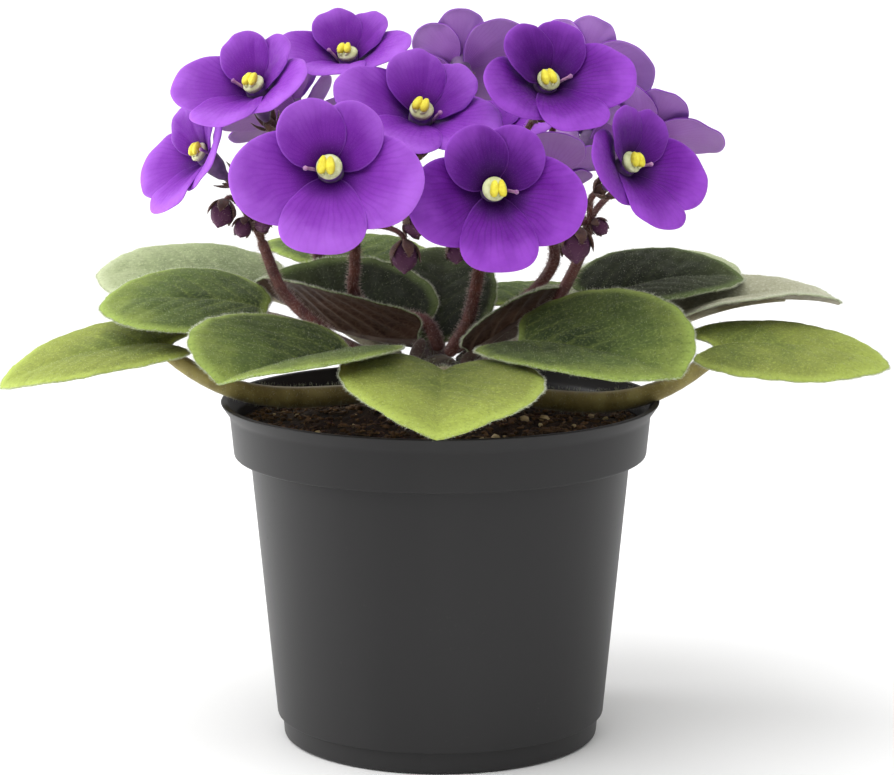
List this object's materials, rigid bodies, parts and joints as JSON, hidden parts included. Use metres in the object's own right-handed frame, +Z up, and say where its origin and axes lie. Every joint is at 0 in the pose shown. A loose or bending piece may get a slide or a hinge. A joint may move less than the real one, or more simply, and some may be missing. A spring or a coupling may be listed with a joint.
{
  "type": "potted african violet",
  "caption": "Flowering houseplant in a round nursery pot: a low rosette of hairy scalloped leaves under a dome of five-lobed purple flowers.",
  "frame": {"origin": "on the pot's axis, in the plane that the pot's foot stands on", "axes": "+Z up, +X to the right and +Y to the back as the plant's front is faced"},
  "size_m": [0.2211, 0.1686, 0.1829],
  "materials": {
    "pot": "satin dark grey, fine horizontal streaks",
    "soil": "rough, dark brown potting mix with white perlite",
    "crown": "matte green-brown stem",
    "leaf_outer": "hairy, yellow-green",
    "leaf_inner": "hairy, mid to dark green",
    "leaf_pale": "hairy, pale grey-green",
    "petals": "velvety purple, darker at the throat",
    "stamens": "yellow anthers over a pale green-white boss",
    "stalks": "hairy, red-brown"
  },
  "bodies": {
    "root": {"pot": "pot", "soil": "soil", "crown": "crown", "leaf_far_left": "leaf_outer", "leaf_left": "leaf_inner", "leaf_left_behind": "leaf_pale", "leaf_front_left": "leaf_inner", "leaf_front": "leaf_outer", "leaf_front_right": "leaf_inner", "leaf_far_right": "leaf_outer", "leaf_right": "leaf_pale", "leaf_right_upper": "leaf_inner", "leaf_right_behind": "leaf_pale", "leaf_inner_left": "leaf_inner", "leaf_inner_right": "leaf_inner", "leaf_back_left": "leaf_pale", "leaf_back": "leaf_outer", "leaf_back_right": "leaf_outer", "leaf_inner_back": "leaf_inner", "corolla_01": "petals", "stamens_01": "stamens", "corolla_02": "petals", "stamens_02": "stamens", "corolla_03": "petals", "stamens_03": "stamens", "corolla_04": "petals", "stamens_04": "stamens", "corolla_05": "petals", "stamens_05": "stamens", "corolla_06": "petals", "stamens_06": "stamens", "corolla_07": "petals", "stamens_07": "stamens", "corolla_08": "petals", "stamens_08": "stamens", "corolla_09": "petals", "stamens_09": "stamens", "corolla_10": "petals", "stamens_10": "stamens", "corolla_11": "petals", "stamens_11": "stamens", "corolla_12": "petals", "stamens_12": "stamens", "corolla_13": "petals", "stamens_13": "stamens", "corolla_14": "petals", "stamens_14": "stamens", "corolla_15": "petals", "stamens_15": "stamens", "corolla_16": "petals", "stamens_16": "stamens", "spray_left": "stalks", "spray_front_left": "stalks", "spray_middle": "stalks", "spray_right": "stalks", "spray_back_right": "stalks", "spray_back_left": "stalks"}
  },
  "joints": []
}
